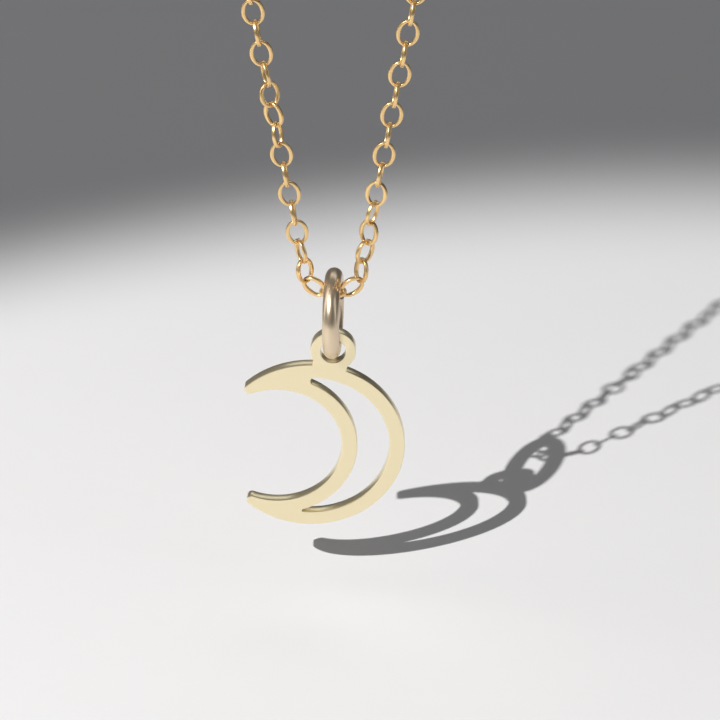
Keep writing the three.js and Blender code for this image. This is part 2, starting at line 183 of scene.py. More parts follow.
# ---- materials ----
def polished_metal(name, base, roughness, stroke, seed):
    """A polished metal with fine rubbing marks along a stroke, small stains and soft waves in its surface."""
    material = bpy.data.materials.new(name)
    material.use_nodes = True
    nodes = material.node_tree.nodes
    links = material.node_tree.links
    shader = nodes["Principled BSDF"]
    shader.inputs["Metallic"].default_value = 1.0

    place = nodes.new("ShaderNodeTexCoord")
    grain = nodes.new("ShaderNodeMapping")
    grain.inputs["Location"].default_value = (seed, 2.3 * seed, -seed)
    grain.inputs["Scale"].default_value = stroke
    links.new(place.outputs["Object"], grain.inputs["Vector"])

    marks = nodes.new("ShaderNodeTexNoise")
    marks.inputs["Scale"].default_value = 3200
    marks.inputs["Detail"].default_value = 3
    links.new(grain.outputs["Vector"], marks.inputs["Vector"])
    stains = nodes.new("ShaderNodeTexNoise")
    stains.inputs["Scale"].default_value = 900
    stains.inputs["Detail"].default_value = 4
    links.new(place.outputs["Object"], stains.inputs["Vector"])
    waves = nodes.new("ShaderNodeTexNoise")
    waves.inputs["Scale"].default_value = 520
    waves.inputs["Detail"].default_value = 1
    links.new(place.outputs["Object"], waves.inputs["Vector"])

    tint = nodes.new("ShaderNodeValToRGB")
    tint.color_ramp.elements[0].position = 0.3
    tint.color_ramp.elements[0].color = (*[c * k for c, k in zip(base, (0.9, 0.84, 0.76))], 1)
    tint.color_ramp.elements[1].position = 0.62
    tint.color_ramp.elements[1].color = (*base, 1)
    links.new(stains.outputs["Fac"], tint.inputs["Fac"])
    links.new(tint.outputs["Color"], shader.inputs["Base Color"])

    gloss = nodes.new("ShaderNodeMapRange")
    gloss.inputs["From Min"].default_value = 0.35
    gloss.inputs["From Max"].default_value = 0.75
    gloss.inputs["To Min"].default_value = roughness
    gloss.inputs["To Max"].default_value = roughness + 0.08
    links.new(marks.outputs["Fac"], gloss.inputs["Value"])
    links.new(gloss.outputs["Result"], shader.inputs["Roughness"])

    swell = nodes.new("ShaderNodeBump")
    swell.inputs["Strength"].default_value = 0.5
    swell.inputs["Distance"].default_value = 0.00002
    links.new(waves.outputs["Fac"], swell.inputs["Height"])
    rub = nodes.new("ShaderNodeBump")
    rub.inputs["Strength"].default_value = 0.35
    rub.inputs["Distance"].default_value = 0.000001
    links.new(marks.outputs["Fac"], rub.inputs["Height"])
    links.new(swell.outputs["Normal"], rub.inputs["Normal"])
    links.new(rub.outputs["Normal"], shader.inputs["Normal"])
    return material


METALS = {
    "chain_gold": ("chain", 0.08, (1, 1, 1), 1.0),
    "pendant_gold": ("pendant", 0.06, (0.12, 1, 1), 4.0),
    "ring_gold": ("ring", 0.09, (1, 1, 0.3), 7.0),
    "clasp_gold": ("pendant", 0.12, (1, 1, 0.4), 9.0),
    "spring_steel": ("steel", 0.2, (1, 1, 1), 12.0),
}


def finish(name):
    """The metal of that name, made when it is first asked for."""
    if name not in bpy.data.materials:
        which, roughness, stroke, seed = METALS[name]
        base = tuple(getattr(bpy.context.scene.necklace_finishes, which))
        polished_metal(name, base, roughness, stroke, seed)
    return bpy.data.materials[name]


# ---- meshes ----
def piece(name, points, faces, metal, node, smooth=True):
    """A finished piece that stands for a CAD node and rides on its body."""
    mesh = bpy.data.meshes.new(name)
    mesh.from_pydata([tuple(p) for p in points], [], faces)
    mesh.validate()
    mesh.polygons.foreach_set("use_smooth", [smooth] * len(mesh.polygons))
    mesh.materials.append(finish(metal))
    return adopt(bpy.data.objects.new(name, mesh), metal, node)


def adopt(obj, metal, *nodes):
    """Puts a piece in the scene, on the body of the nodes that it replaces."""
    if obj.name not in bpy.context.scene.collection.objects:
        bpy.context.scene.collection.objects.link(obj)
    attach(obj, frame["nodes"][nodes[0]]["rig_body"])
    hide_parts(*nodes)
    return obj


def node_points(node):
    """A CAD node's vertices, in metres."""
    vertices = frame["nodes"][node].data.vertices
    points = np.empty(3 * len(vertices))
    vertices.foreach_get("co", points)
    return points.reshape(-1, 3)


def seat(node):
    """A flat ring's middle and its axes (across, through, along), as a 4x4, from where the CAD ring lies."""
    points = np.unique(np.round(node_points(node), 8), axis=0)
    middle = (points.min(axis=0) + points.max(axis=0)) / 2
    spread, axes = np.linalg.eigh(np.cov((points - points.mean(axis=0)).T))
    through, across, along = axes[:, np.argsort(spread)].T
    reach = points @ np.array([across, through, along]).T
    middle = np.array([across, through, along]).T @ ((reach.min(axis=0) + reach.max(axis=0)) / 2)
    if np.dot(np.cross(across, through), along) < 0:
        through = -through
    placed = Matrix(np.column_stack([across, through, along]).tolist()).to_4x4()
    placed.translation = Vector(middle)
    return placed


def tube(path, radius, sides, closed=False, start=None):
    """Points and faces of a round wire along a path, with rounded ends unless it is closed."""
    path = np.asarray(path, float)
    count = len(path)
    if closed:
        forward = np.roll(path, -1, axis=0) - np.roll(path, 1, axis=0)
    else:
        forward = np.gradient(path, axis=0)
    forward /= np.linalg.norm(forward, axis=1)[:, None]
    up = np.array(start if start is not None else (0.0, 0.0, 1.0))
    radii = np.full(count, float(radius))
    if not closed:
        # the ends are drawn in over the last fifth of a radius
        radii[0] = radii[-1] = 0.8 * radius
    points = []
    turn = FULL_TURN * np.arange(sides) / sides
    for middle, way, reach in zip(path, forward, radii):
        up = up - way * np.dot(up, way)
        up /= np.linalg.norm(up)
        side = np.cross(way, up)
        points.extend(middle + reach * (np.cos(a) * up + np.sin(a) * side) for a in turn)
    faces = []
    for i in range(count if closed else count - 1):
        a, b = i * sides, (i + 1) % count * sides
        faces.extend((a + k, a + (k + 1) % sides, b + (k + 1) % sides, b + k) for k in range(sides))
    if not closed:
        faces.append(tuple(range(sides))[::-1])
        faces.append(tuple(range((count - 1) * sides, count * sides)))
    return np.array(points), faces


def arc(radius, start, end, steps, height=0.0):
    """Points of an arc about Z."""
    angles = np.linspace(start, end, steps)
    return np.column_stack([radius * np.cos(angles), radius * np.sin(angles), np.full(steps, height)])


def moved(points, placed):
    return np.asarray(points) @ np.array(placed.to_3x3()).T + np.array(placed.translation)


def evaluated_copy(obj, name):
    """A plain mesh of what the modifiers make of an object."""
    depsgraph = bpy.context.evaluated_depsgraph_get()
    mesh = bpy.data.meshes.new_from_object(obj.evaluated_get(depsgraph), depsgraph=depsgraph)
    mesh.name = name
    return mesh


# ---- node trees ----
class Tree:
    """A short way to build a Geometry Nodes tree."""

    def __init__(self, name, sizes):
        self.tree = bpy.data.node_groups.new(name, "GeometryNodeTree")
        interface = self.tree.interface
        interface.new_socket(name="Geometry", in_out="OUTPUT", socket_type="NodeSocketGeometry")
        interface.new_socket(name="Geometry", in_out="INPUT", socket_type="NodeSocketGeometry")
        for label, kind in sizes:
            interface.new_socket(name=label, in_out="INPUT", socket_type=kind)
        self.inputs = self.tree.nodes.new("NodeGroupInput")
        self.outputs = self.tree.nodes.new("NodeGroupOutput")

    def __getitem__(self, label):
        return self.inputs.outputs[label]

    def feed(self, socket, value):
        if isinstance(value, bpy.types.NodeSocket):
            self.tree.links.new(value, socket)
        else:
            socket.default_value = value

    def add(self, kind, values=(), **settings):
        """A node, its settings, and its inputs by name or number."""
        made = self.tree.nodes.new(kind)
        for key, value in settings.items():
            setattr(made, key, value)
        for key, value in dict(values).items():
            self.feed(made.inputs[key], value)
        return made

    def math(self, operation, a, b=None):
        values = {0: a} if b is None else {0: a, 1: b}
        return self.add("ShaderNodeMath", values, operation=operation).outputs[0]

    def combine(self, x, y, z):
        return self.add("ShaderNodeCombineXYZ", {0: x, 1: y, 2: z}).outputs[0]

    def end(self, geometry):
        self.tree.links.new(geometry, self.outputs.inputs["Geometry"])
        return self.tree


LINK_SIZES = [
    ("Length", "NodeSocketFloat"),
    ("Width", "NodeSocketFloat"),
    ("End Wire", "NodeSocketFloat"),
    ("Side Wire", "NodeSocketFloat"),
    ("Thickness", "NodeSocketFloat"),
    ("Unevenness", "NodeSocketFloat"),
    ("Segments", "NodeSocketInt"),
    ("Section", "NodeSocketInt"),
    ("Squareness", "NodeSocketFloat"),
    ("Seed", "NodeSocketFloat"),
    ("Metal", "NodeSocketMaterial"),
]


def flat_link_tree():
    """One flattened oval link: length along Z, width along X, faces along Y. A sheet of points is wrapped round
    the oval one way and round the wire's flattened section the other way."""
    t = Tree("flat_link", LINK_SIZES)
    across = t.math("ADD", t["Segments"], 1)
    around = t.math("ADD", t["Section"], 1)
    sheet = t.add(
        "GeometryNodeMeshGrid", {"Size X": 1.0, "Size Y": 1.0, "Vertices X": across, "Vertices Y": around}
    )
    spot = t.add("ShaderNodeSeparateXYZ", {0: t.add("GeometryNodeInputPosition").outputs[0]})
    oval = t.math("MULTIPLY", t.math("ADD", spot.outputs["X"], 0.5), FULL_TURN)
    wire = t.math("MULTIPLY", t.math("ADD", spot.outputs["Y"], 0.5), FULL_TURN)

    def squared(value):
        size = t.math("POWER", t.math("ABSOLUTE", value), t["Squareness"])
        return t.math("MULTIPLY", size, t.math("SIGN", value))

    out = squared(t.math("COSINE", wire))
    through = squared(t.math("SINE", wire))
    half_side = t.math("MULTIPLY", t["Side Wire"], 0.5)
    half_end = t.math("MULTIPLY", t["End Wire"], 0.5)
    middle_x = t.math("SUBTRACT", t.math("MULTIPLY", t["Width"], 0.5), half_side)
    middle_z = t.math("SUBTRACT", t.math("MULTIPLY", t["Length"], 0.5), half_end)
    reach_x = t.math("ADD", middle_x, t.math("MULTIPLY", half_side, out))
    reach_z = t.math("ADD", middle_z, t.math("MULTIPLY", half_end, out))
    x = t.math("MULTIPLY", reach_x, t.math("COSINE", oval))
    z = t.math("MULTIPLY", reach_z, t.math("SINE", oval))
    y = t.math("MULTIPLY", t.math("MULTIPLY", t["Thickness"], 0.5), through)
    placed = t.add("GeometryNodeSetPosition", {"Geometry": sheet.outputs["Mesh"], "Position": t.combine(x, y, z)})

    # the wire wanders a little along the oval, and by the same amount all round its section
    lie = t.combine(t.math("COSINE", oval), t.math("SINE", oval), t["Seed"])
    wander = t.add("ShaderNodeTexNoise", {"Vector": lie, "Scale": 1.3, "Detail": 1.0})
    stray = t.math("MULTIPLY", t.math("SUBTRACT", wander.outputs["Fac"], 0.5), t["Unevenness"])
    inwards = t.math("MULTIPLY", t.math("ABSOLUTE", stray), -2.0)
    shift = t.combine(
        t.math("MULTIPLY", inwards, t.math("COSINE", oval)), 0.0, t.math("MULTIPLY", inwards, t.math("SINE", oval))
    )
    wavy = t.add("GeometryNodeSetPosition", {"Geometry": placed.outputs[0], "Offset": shift})
    joined = t.add("GeometryNodeMergeByDistance", {"Geometry": wavy.outputs[0], "Distance": 0.0000005})
    smooth = t.add("GeometryNodeSetShadeSmooth", {"Geometry": joined.outputs[0]})
    real = t.add("GeometryNodeRealizeInstances", {"Geometry": smooth.outputs[0]})
    coated = t.add("GeometryNodeSetMaterial", {"Geometry": real.outputs[0], "Material": t["Metal"]})
    return t.end(coated.outputs[0])


def chain_run_tree(link):
    """Flat links along a route, each turned a quarter from the last, with a little play."""
    route_sizes = [("Links", "NodeSocketInt"), ("Twist Play", "NodeSocketFloat"), ("Quarter", "NodeSocketFloat")]
    t = Tree("chain_run", route_sizes + LINK_SIZES)
    route = t.add("GeometryNodeMeshToCurve", {"Mesh": t["Geometry"]})
    even = t.add("GeometryNodeResampleCurve", {"Curve": route.outputs[0], "Count": t["Links"]})
    spots = t.add("GeometryNodeCurveToPoints", {"Curve": even.outputs[0]}, mode="EVALUATED")
    one = t.add("GeometryNodeGroup", node_tree=link)
    for label, _ in LINK_SIZES:
        t.feed(one.inputs[label], t[label])

    along = t.add("FunctionNodeAlignRotationToVector", {"Vector": spots.outputs["Tangent"]}, axis="Z")
    facing = t.add(
        "FunctionNodeAlignRotationToVector",
        {"Rotation": along.outputs[0], "Vector": (0.0, 1.0, 0.0)},
        axis="Y",
        pivot_axis="Z",
    )
    number = t.add("GeometryNodeInputIndex").outputs[0]
    quarters = t.math("MULTIPLY", t.math("ADD", number, t["Quarter"]), math.pi / 2)
    # Random Value has a Min and a Max for each type: the float ones are its inputs 2 and 3
    play = t.add(
        "FunctionNodeRandomValue",
        {2: t.math("MULTIPLY", t["Twist Play"], -1.0), 3: t["Twist Play"], "ID": number, "Seed": 7},
        data_type="FLOAT",
    )
    amount = next(s for s in play.outputs if s.enabled)
    twist = t.add(
        "FunctionNodeAxisAngleToRotation",
        {"Axis": (0.0, 0.0, 1.0), "Angle": t.math("ADD", quarters, amount)},
    )
    turned = t.add(
        "FunctionNodeRotateRotation",
        {"Rotation": facing.outputs[0], "Rotate By": twist.outputs[0]},
        rotation_space="LOCAL",
    )
    laid = t.add(
        "GeometryNodeInstanceOnPoints",
        {"Points": spots.outputs["Points"], "Instance": one.outputs[0], "Rotation": turned.outputs[0]},
    )
    real = t.add("GeometryNodeRealizeInstances", {"Geometry": laid.outputs[0]})
    coated = t.add("GeometryNodeSetMaterial", {"Geometry": real.outputs[0], "Material": t["Metal"]})
    return t.end(coated.outputs[0])


def run_tree(tree, values, name, points=((0, 0, 0),), edges=()):
    """The plain mesh that a tree makes, with its inputs set by their names."""
    carrier_mesh = bpy.data.meshes.new(name + "_route")
    carrier_mesh.from_pydata([tuple(p) for p in points], list(edges), [])
    carrier = bpy.data.objects.new(name + "_route", carrier_mesh)
    bpy.context.scene.collection.objects.link(carrier)
    modifier = carrier.modifiers.new(name, "NODES")
    modifier.node_group = tree
    for item in tree.interface.items_tree:
        if item.in_out == "INPUT" and item.name in values:
            modifier[item.identifier] = values[item.name]
    mesh = evaluated_copy(carrier, name)
    carrier.modifiers.clear()
    bpy.data.objects.remove(carrier)
    if not mesh.polygons:
        raise RuntimeError(f"{name}: the node tree made no faces")
    return mesh


def outwards(mesh):
    """Turns a closed mesh's faces to point outwards."""
    corners = np.empty(3 * len(mesh.vertices))
    mesh.vertices.foreach_get("co", corners)
    corners = corners.reshape(-1, 3)
    volume = 0.0
    for polygon in mesh.polygons:
        ring = corners[list(polygon.vertices)]
        for k in range(1, len(ring) - 1):
            volume += np.dot(ring[0], np.cross(ring[k], ring[k + 1]))
    if volume < 0:
        mesh.flip_normals()


def link_values(sizes, segments, section, seed):
    return {
        "Length": sizes.link_length,
        "Width": sizes.link_width,
        "End Wire": sizes.end_wire,
        "Side Wire": sizes.side_wire,
        "Thickness": sizes.thickness,
        "Unevenness": sizes.unevenness,
        "Segments": segments,
        "Section": section,
        "Squareness": 0.42,
        "Seed": float(seed),
        "Metal": finish("chain_gold"),
    }


def tree_named(name, make):
    return bpy.data.node_groups.get(name) or make()


# ---- operators ----
class NECKLACE_OT_links(bpy.types.Operator):
    """Make the separate flat links of both strands and the bottom link, each on its own body"""

    bl_idname = "necklace.links"
    bl_label = "Separate Links"

    def execute(self, context):
        sizes = context.scene.necklace_chain
        tree = tree_named("flat_link", flat_link_tree)
        nodes = sorted(n for n in frame["nodes"] if n.startswith("link_") or n == "bottom_link")
        for number, node in enumerate(nodes):
            mesh = run_tree(tree, link_values(sizes, 56, 16, 3.7 * number), node + "_shape")
            outwards(mesh)
            mesh.transform(seat(node))
            adopt(bpy.data.objects.new(node + "_shape", mesh), "chain_gold", node)
        return {"FINISHED"}


def coil_route(sizes, side):
    """The route of one run of the wound chain, from its first link above the separate ones: up the strand,
    round the bar, and up to the ring at its end. Also its number of links and its pitch."""
    top = np.array(seat(f"link_{side}_20").translation)
    below = np.array(seat(f"link_{side}_19").translation)
    step = top - below
    pitch = np.linalg.norm(step)
    lean = math.atan2(abs(step[0]), step[2])
    mirror = -1 if side == "left" else 1
    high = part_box("chain_coil")[1]
    radius = high[0] - sizes.coil_depth - sizes.link_width / 2
    half_width = high[1] - sizes.link_width / 2
    winds = sizes.coil_turns + 0.5 + lean / math.pi
    entry = radius - sizes.coil_depth
    first = top + step
    tangent = np.array([mirror * entry * math.cos(lean), 0, -entry * math.sin(lean)])
    straight = np.linspace(first, tangent, max(3, int(np.linalg.norm(tangent - first) / pitch)))

    leave = 0.4  # of a turn before the top, where the chain leaves the coil for its end ring
    turns = np.linspace(0, winds / 2 - leave / 2, 16 * sizes.coil_turns)[1:]
    round_ = FULL_TURN * turns / winds
    reach = radius - sizes.coil_depth * np.cos(round_)
    angle = math.pi + lean - FULL_TURN * turns
    wound = np.column_stack([reach * np.cos(angle), -half_width * np.sin(round_), reach * np.sin(angle)])
    if side == "right":
        wound[:, 0] *= -1
        wound[:, 1] *= -1

    ring = "clasp_connector_ring" if side == "left" else "end_ring"
    wire = bpy.context.scene.necklace_clasp.ring_wire
    edge = node_points(ring)
    outer = edge[np.argmin(edge[:, 0])] if side == "left" else edge[np.argmax(edge[:, 0])]
    # the last link takes hold of the ring's wire: its middle is half a pitch outside it
    direction = wound[-1] - wound[-2]
    direction /= np.linalg.norm(direction)
    hold = np.array([outer[0] - mirror * wire / 2, 0.0, outer[2]])
    swing = np.linspace(0, 1, 9)[1:, None]
    away = wound[-1] + direction * 0.35 * np.linalg.norm(hold - wound[-1])
    near = hold + np.array([mirror * 0.25, 0, -1.0]) * 0.3 * np.linalg.norm(hold - wound[-1])
    rise = (
        (1 - swing) ** 3 * wound[-1]
        + 3 * (1 - swing) ** 2 * swing * away
        + 3 * (1 - swing) * swing**2 * near
        + swing**3 * hold
    )
    route = np.vstack([straight, wound, rise])
    steps = np.linalg.norm(np.diff(route, axis=0), axis=1)
    total = steps.sum() - pitch / 2
    links = int(total / pitch) + 1
    # the route ends half a pitch before the wire that the last link holds
    ends = np.concatenate([[0], np.cumsum(steps)])
    wanted = (links - 1) * pitch
    last = np.array([np.interp(wanted, ends, route[:, k]) for k in range(3)])
    return np.vstack([route[ends < wanted - 1e-6], last]), links, pitch


class NECKLACE_OT_wound_chain(bpy.types.Operator):
    """Make the rest of the chain: two runs of links, wound round the bar and ending at the clasp"""

    bl_idname = "necklace.wound_chain"
    bl_label = "Wound Chain"

    def execute(self, context):
        sizes = context.scene.necklace_chain
        link = tree_named("flat_link", flat_link_tree)
        tree = bpy.data.node_groups.get("chain_run") or chain_run_tree(link)
        clasp = ["clasp_connector_ring", "clasp_eye", "clasp_tube", "clasp_trigger", "clasp_spring"]
        ends = {"left": ("connector", clasp), "right": ("fitting", ["end_ring"])}
        replaced = {"left": ("chain_upper_left", "chain_coil"), "right": ("chain_upper_right",)}
        for side, (far_end, held) in ends.items():
            route, links, pitch = coil_route(sizes, side)
            values = link_values(sizes, 14, 6, 1.0)
            values.update({"Links": links, "Twist Play": sizes.twist_play, "Quarter": 1.0})
            edges = [(i, i + 1) for i in range(len(route) - 1)]
            mesh = run_tree(tree, values, f"chain_run_{side}", route, edges)
            outwards(mesh)
            run = adopt(bpy.data.objects.new(f"chain_run_{side}", mesh), "chain_gold", *replaced[side])
        return {"FINISHED"}


class NECKLACE_OT_jump_ring(bpy.types.Operator):
    """Make the jump ring that joins the pendant to the bottom link"""

    bl_idname = "necklace.jump_ring"
    bl_label = "Jump Ring"

    def execute(self, context):
        sizes = context.scene.necklace_ring
        placed = seat("jump_ring")
        radius = (sizes.outside - sizes.wire) / 2
        # the slit is where the CAD ring's ends face each other, at the back
        through = np.array(placed.col[1][:3])
        middle = np.array(placed.translation)
        back = np.cross((0, 0, 1), through)
        back = back / np.linalg.norm(back)
        if back[1] < 0:
            back = -back
        half = sizes.slit / 2 / radius
        angles = np.linspace(half, FULL_TURN - half, 97)
        # the ends are rounded off by a short last step
        lead = 0.1 * sizes.wire / radius
        angles = np.concatenate([[angles[0]], [angles[0] + lead], angles[1:-1], [angles[-1] - lead], [angles[-1]]])
        angles = np.unique(angles)
        up = np.array((0.0, 0.0, 1.0))
        path = middle + radius * (np.cos(angles)[:, None] * back + np.sin(angles)[:, None] * up)
        points, faces = tube(path, sizes.wire / 2, 28, start=through)
        made = piece("jump_ring_shape", points, faces, "ring_gold", "jump_ring")
        outwards(made.data)
        made.data.set_sharp_from_angle(angle=math.radians(50))
        return {"FINISHED"}


def fitted_tip(outer, inner, offset, radius):
    """The middle of the circle that fits between a large circle at 0 and a smaller one at -offset."""
    x = ((inner + radius) ** 2 - (outer - radius) ** 2 - offset**2) / (2 * offset)
    return x, math.sqrt((outer - radius) ** 2 - x**2)


def flat_arc(x, z, radius, start, end, steps):
    angles = np.linspace(start, end, steps)
    return np.column_stack([x + radius * np.cos(angles), z + radius * np.sin(angles)])


def crescent_outline(outer, inner, offset, top_radius, bottom_radius, gap=None):
    """A crescent's outline, clockwise. gap is (middle angle, half angle) of a stretch of its outer arc that is
    left out; the outline then starts and ends there."""
    top_x, top_z = fitted_tip(outer, inner, offset, top_radius)
    low_x, low_z = fitted_tip(outer, inner, offset, bottom_radius)
    low_z = -low_z
    top_out, top_in = math.atan2(top_z, top_x), math.atan2(top_z, top_x + offset)
    low_out, low_in = math.atan2(low_z, low_x), math.atan2(low_z, low_x + offset)
    low_turn = (low_out - low_in + math.pi) % FULL_TURN
    top_turn = (top_in + math.pi - top_out) % FULL_TURN
    parts = [
        flat_arc(low_x, low_z, bottom_radius, low_out, low_out - low_turn, 16),
        flat_arc(-offset, 0, inner, low_in, top_in, 120),
        flat_arc(top_x, top_z, top_radius, top_in + math.pi, top_in + math.pi - top_turn, 16),
    ]
    if gap is None:
        parts.insert(0, flat_arc(0, 0, outer, top_out, low_out, 150))
    else:
        middle, half = gap
        parts.insert(0, flat_arc(0, 0, outer, middle - half, low_out, 120))
        parts.append(flat_arc(0, 0, outer, top_out, middle + half, 40))
    line = np.vstack(parts)
    keep = np.linalg.norm(line - np.roll(line, 1, axis=0), axis=1) > 1e-7
    return line[keep]


def inset(line, distance):
    """A closed line moved to its right by a distance."""
    ahead = np.roll(line, -1, axis=0) - line
    ahead /= np.linalg.norm(ahead, axis=1)[:, None]
    behind = np.roll(ahead, 1, axis=0)
    right = np.column_stack([ahead[:, 1], -ahead[:, 0]]) + np.column_stack([behind[:, 1], -behind[:, 0]])
    right /= np.linalg.norm(right, axis=1)[:, None]
    lean = np.clip((right * np.column_stack([ahead[:, 1], -ahead[:, 0]])).sum(axis=1), 0.5, 1)
    return line + right * (distance / lean)[:, None]


class NECKLACE_OT_pendant(bpy.types.Operator):
    """Make the flat open crescent with its loop, with softened edges"""

    bl_idname = "necklace.pendant"
    bl_label = "Crescent Pendant"

    def execute(self, context):
        s = context.scene.necklace_pendant
        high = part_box("crescent_pendant")[1]
        lean = s.loop_angle
        loop_x = (s.outer + s.loop_rise) * math.cos(lean)
        loop_z = (s.outer + s.loop_rise) * math.sin(lean)
        centre = np.array([high[0] - s.outer, 0, high[2] - loop_z - s.loop])
        body = crescent_outline(
            s.outer, s.mouth, s.mouth_offset, s.horn, s.horn, gap=(lean, math.asin(s.neck / s.outer))
        )
        # the neck's sides run straight up to the loop, which goes round clockwise
        foot = math.acos(-math.sqrt(1 - (s.neck / s.loop) ** 2))
        loop = flat_arc(loop_x, loop_z, s.loop, lean + foot, lean - foot, 70)
        outline = np.vstack([body, loop])
        window = crescent_outline(
            s.outer - s.outer_band, s.mouth + s.inner_band, s.mouth_offset, s.window_top, s.window_bottom
        )[::-1]
        hole = flat_arc(loop_x, loop_z, s.loop_hole, 0, FULL_TURN, 61)[:-1]

        # each line is drawn six times: inset on the front face, round the softened edges, and inset on the back
        half = s.thickness / 2
        soft = s.edge * (1 - math.sqrt(0.5))
        layers = [(s.edge, -half), (soft, -half + soft), (0, -half + s.edge)]
        layers += [(0, half - s.edge), (soft, half - soft), (s.edge, half)]
        points, faces, fronts, backs = [], [], [], []
        for line in (outline, window, hole):
            start, count = len(points), len(line)
            for distance, depth in layers:
                points.extend(centre + (x, depth, z) for x, z in inset(line, distance))
            for layer in range(len(layers) - 1):
                a, b = start + layer * count, start + (layer + 1) * count
                faces.extend((a + k, b + k, b + (k + 1) % count, a + (k + 1) % count) for k in range(count))
            fronts.append(range(start, start + count))
            backs.append(range(start + (len(layers) - 1) * count, start + len(layers) * count))
        walls = len(faces)
        for rings, turned in ((fronts, False), (backs, True)):
            numbers = [k for ring in rings for k in ring]
            lines = [[Vector((points[k][0], points[k][2], 0)) for k in ring] for ring in rings]
            for corners in tessellate_polygon(lines):
                a, b, c = (numbers[k] for k in corners)
                p, q, r = (points[k] for k in (a, b, c))
                facing = np.cross(np.subtract(q, p), np.subtract(r, p))[1]
                if abs(facing) < 1e-18:
                    continue
                faces.append((a, b, c) if (facing < 0) != turned else (a, c, b))
        made = piece("crescent_pendant_shape", points, faces, "pendant_gold", "crescent_pendant")
        made.data.polygons.foreach_set("use_smooth", [k < walls for k in range(len(made.data.polygons))])
        outwards(made.data)
        made.data.set_sharp_from_angle(angle=math.radians(40))
        return {"FINISHED"}


def clasp_middle():
    low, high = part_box("clasp_tube")
    return np.array([0.0, 0.0, (low[2] + high[2]) / 2])


class NECKLACE_OT_clasp(bpy.types.Operator):
    """Make the spring ring clasp's tube and trigger"""

    bl_idname = "necklace.clasp"
    bl_label = "Clasp"

    def execute(self, context):
        s = context.scene.necklace_clasp
        centre = clasp_middle()
        radius = (s.outside - s.tube) / 2
        cad = node_points("clasp_tube") - centre
        angles = np.degrees(np.arctan2(cad[:, 1], cad[:, 0]))
        turn = np.sort(np.unique(np.round(angles % 360, 3)))
        gaps = np.diff(np.concatenate([turn, [turn[0] + 360]]))
        widest = int(np.argmax(gaps))
        mouth_start = math.radians(turn[widest])
        mouth_end = math.radians(turn[(widest + 1) % len(turn)])
        sweep = (mouth_start - mouth_end) % FULL_TURN
        path = arc(radius, mouth_end, mouth_end + sweep, 90) + centre

        outer, outer_faces = tube(path, s.tube / 2, 24, start=(0, 0, 1))
        inner, inner_faces = tube(path, s.bore / 2, 24, start=(0, 0, 1))
        sides = 24
        count = len(path)
        shift = len(outer)
        faces = outer_faces[:-2] + [tuple(shift + k for k in face[::-1]) for face in inner_faces[:-2]]
        inner[:sides] = path[0] + (inner[:sides] - path[0]) / 0.8
        inner[-sides:] = path[-1] + (inner[-sides:] - path[-1]) / 0.8
        for start, turned in ((0, False), ((count - 1) * sides, True)):
            for k in range(sides):
                a, b = start + k, start + (k + 1) % sides
                face = (a, shift + a, shift + b, b)
                faces.append(face[::-1] if turned else face)
        wall = piece("clasp_tube_shape", np.vstack([outer, inner]), faces, "clasp_gold", "clasp_tube")
        outwards(wall.data)
        self.cut_slot(wall, cad, centre, radius, s)

        rod_cad = node_points("clasp_trigger") - centre
        reach = np.hypot(rod_cad[:, 0], rod_cad[:, 1])
        rod_angles = np.arctan2(rod_cad[:, 1], rod_cad[:, 0])
        near = reach < s.outside / 2
        start, end = rod_angles[near].min(), rod_angles[near].max()
        tip = reach > s.outside / 2 + 0.5 * s.lever_reach
        lever_at = math.atan2(rod_cad[tip, 1].mean(), rod_cad[tip, 0].mean())
        rod_path = arc(radius, start, end, 40) + centre
        points, faces = tube(rod_path, s.rod / 2, 20, start=(0, 0, 1))
        out = np.array([math.cos(lever_at), math.sin(lever_at), 0])
        stem = [centre + out * r for r in np.linspace(radius, s.outside / 2 + s.lever_reach - s.lever / 2, 12)]
        stem_points, stem_faces = tube(stem, s.lever / 2, 16, start=(0, 0, 1))
        shift = len(points)
        faces = faces + [tuple(shift + k for k in face) for face in stem_faces]
        points = np.vstack([points, stem_points])
        trigger = piece("clasp_trigger_shape", points, faces, "clasp_gold", "clasp_trigger")
        outwards(trigger.data)
        trigger.data.set_sharp_from_angle(angle=math.radians(50))
        wall.data.set_sharp_from_angle(angle=math.radians(40))
        return {"FINISHED"}

    def cut_slot(self, wall, cad, centre, radius, s):
        """Cuts the slot that the lever travels in, as wide and as long as the CAD tube's."""
        level = np.abs(cad[:, 2]) < s.lever
        at_slot = level & (np.hypot(cad[:, 0], cad[:, 1]) > radius + s.bore / 4)
        at_slot &= np.abs(np.abs(cad[:, 2]) - np.abs(cad[at_slot, 2]).min()) < 0.00002
        angles = np.arctan2(cad[at_slot, 1], cad[at_slot, 0])
        half = float(np.abs(cad[at_slot, 2]).max())
        start, end = float(angles.min()), float(angles.max())
        inner, outer = radius, s.outside / 2 + s.tube
        steps = 24
        points = []
        for r, z in ((inner, -half), (outer, -half), (outer, half), (inner, half)):
            points.extend(arc(r, start, end, steps, z) + centre)
        faces = []
        for side in range(4):
            a, b = side * steps, (side + 1) % 4 * steps
            faces.extend((a + k, a + k + 1, b + k + 1, b + k) for k in range(steps - 1))
        faces.append((0, steps, 2 * steps, 3 * steps))
        faces.append(tuple(k * steps + steps - 1 for k in (3, 2, 1, 0)))
        mesh = bpy.data.meshes.new("slot_cutter")
        mesh.from_pydata([tuple(p) for p in points], [], faces)
        outwards(mesh)
        cutter = bpy.data.objects.new("slot_cutter", mesh)
        bpy.context.scene.collection.objects.link(cutter)
        cut = wall.modifiers.new("slot", "BOOLEAN")
        cut.operation = "DIFFERENCE"
        cut.solver = "EXACT"
        cut.object = cutter
        bpy.context.view_layer.update()
        shaped = evaluated_copy(wall, "clasp_tube_shape")
        wall.modifiers.clear()
        if len(shaped.polygons) < 100:
            raise RuntimeError("the clasp's slot could not be cut")
        wall.data = shaped
        bpy.data.objects.remove(cutter)


